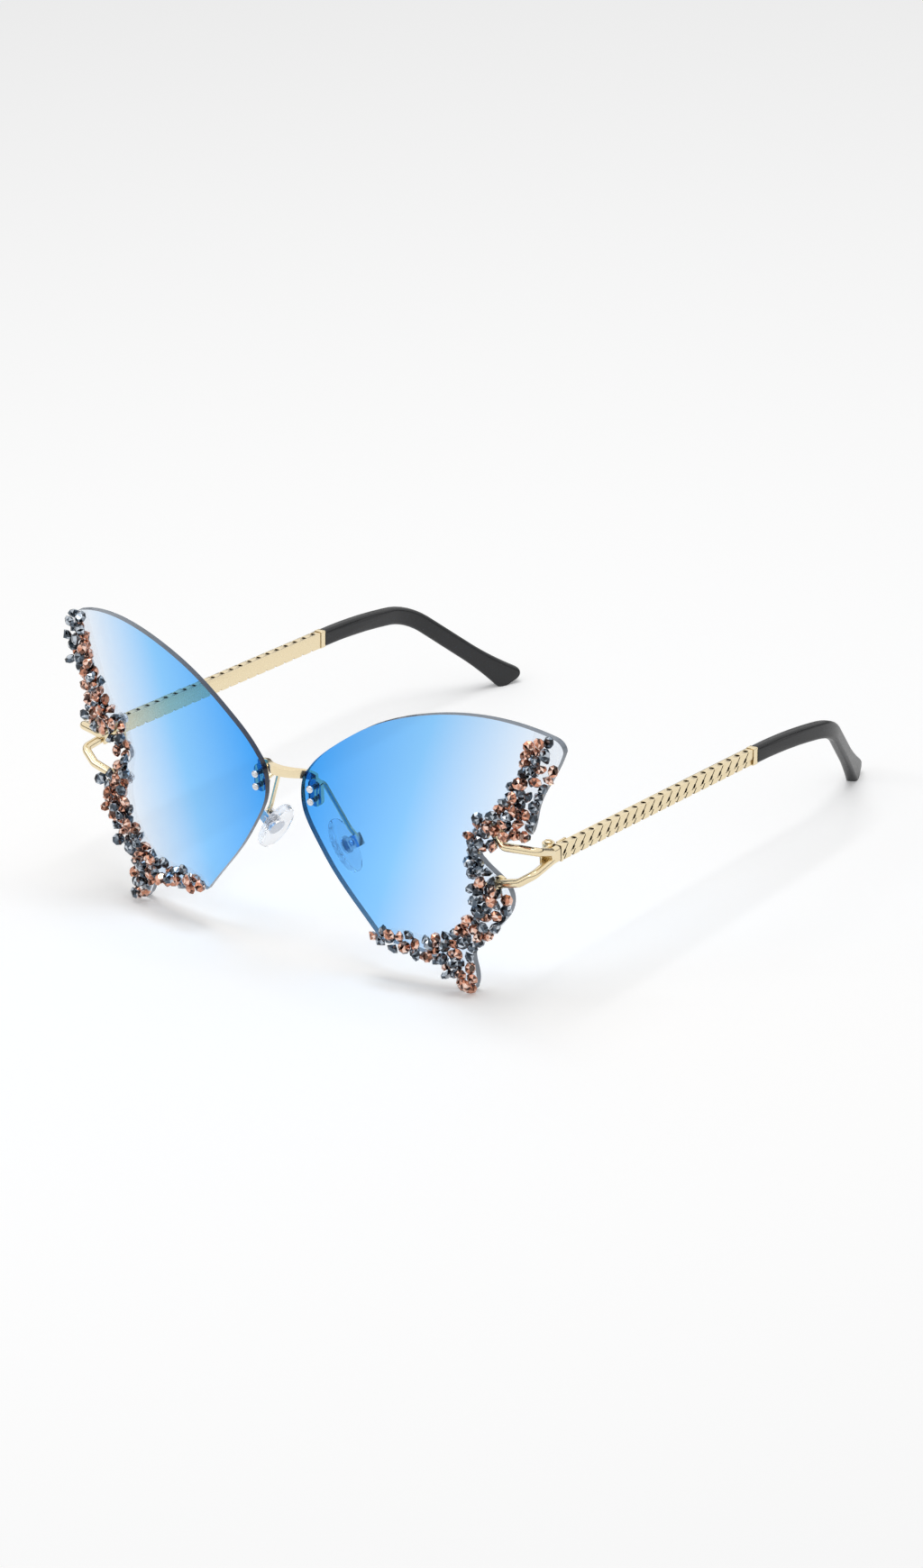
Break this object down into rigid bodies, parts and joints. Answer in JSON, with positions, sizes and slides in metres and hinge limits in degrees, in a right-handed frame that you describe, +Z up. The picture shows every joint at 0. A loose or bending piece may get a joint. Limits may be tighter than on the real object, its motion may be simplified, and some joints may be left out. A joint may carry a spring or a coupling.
{
  "type": "butterfly sunglasses",
  "caption": "Rimless butterfly-shaped sunglasses with crystal trim, folding hinged temples and rocking nose pads.",
  "frame": {"origin": "centre of the footprint's bounding box, on the surface that the open glasses stand on", "axes": "+X to the right in a front view, +Y from the lenses back along the temples, +Z up"},
  "size_m": [0.1446, 0.159, 0.07],
  "materials": {
    "lens_tint": "polished, graded blue tint",
    "gold": "polished pale gold plating",
    "silver": "polished",
    "clear_pad": "clear, smooth",
    "clear_washer": "clear",
    "black_sleeve": "satin",
    "steel_core": "bare",
    "clear_adhesive": "clear",
    "copper_crystal": "faceted, foiled back",
    "grey_crystal": "faceted, foiled back"
  },
  "bodies": {
    "front": {"bridge": "gold", "lens_right": "lens_tint", "lens_left": "lens_tint", "bridge_screws_right": "silver", "bridge_screws_left": "silver", "bridge_nuts_right": "silver", "bridge_nuts_left": "silver", "pad_box_right": "silver", "pad_box_left": "silver", "pad_arm_right": "gold", "pad_arm_left": "gold", "pad_screw_right": "silver", "pad_screw_left": "silver", "end_piece_right": "gold", "end_piece_left": "gold", "end_piece_screws_right": "silver", "end_piece_screws_left": "silver", "end_piece_nuts_right": "silver", "end_piece_nuts_left": "silver", "end_piece_washers_right": "clear_washer", "end_piece_washers_left": "clear_washer", "front_hinge_right": "gold", "front_hinge_left": "gold", "hinge_screw_right": "gold", "hinge_screw_left": "gold", "adhesive_bed_right": "clear_adhesive", "adhesive_bed_left": "clear_adhesive", "copper_crystals_right": "copper_crystal", "copper_crystals_left": "copper_crystal", "grey_crystals_right": "grey_crystal", "grey_crystals_left": "grey_crystal"},
    "right_temple": {"temple_hinge_right": "gold", "temple_right": "gold", "temple_collar_right": "gold", "temple_tip_right": "black_sleeve", "tip_core_right": "steel_core"},
    "left_temple": {"temple_hinge_left": "gold", "temple_left": "gold", "temple_collar_left": "gold", "temple_tip_left": "black_sleeve", "tip_core_left": "steel_core"},
    "right_pad": {"nose_pad_right": "clear_pad", "pad_insert_right": "silver"},
    "left_pad": {"nose_pad_left": "clear_pad", "pad_insert_left": "silver"}
  },
  "joints": [
    {"name": "right_temple_fold", "type": "hinge", "parent": "front", "child": "right_temple", "pos_m": [0.0636, -0.05901, 0.03487], "axis": [0, 0, 1], "range_deg": [0, 90]},
    {"name": "left_temple_fold", "type": "hinge", "parent": "front", "child": "left_temple", "pos_m": [-0.0636, -0.05901, 0.03487], "axis": [0, 0, -1], "range_deg": [0, 85]},
    {"name": "right_pad_rock", "type": "hinge", "parent": "front", "child": "right_pad", "pos_m": [0.0125, -0.06732, 0.02768], "axis": [-0.1782, 0.9781, -0.1071], "range_deg": [-8, 8]},
    {"name": "left_pad_rock", "type": "hinge", "parent": "front", "child": "left_pad", "pos_m": [-0.0125, -0.06732, 0.02768], "axis": [0.1782, 0.9781, -0.1071], "range_deg": [-8, 8]}
  ]
}
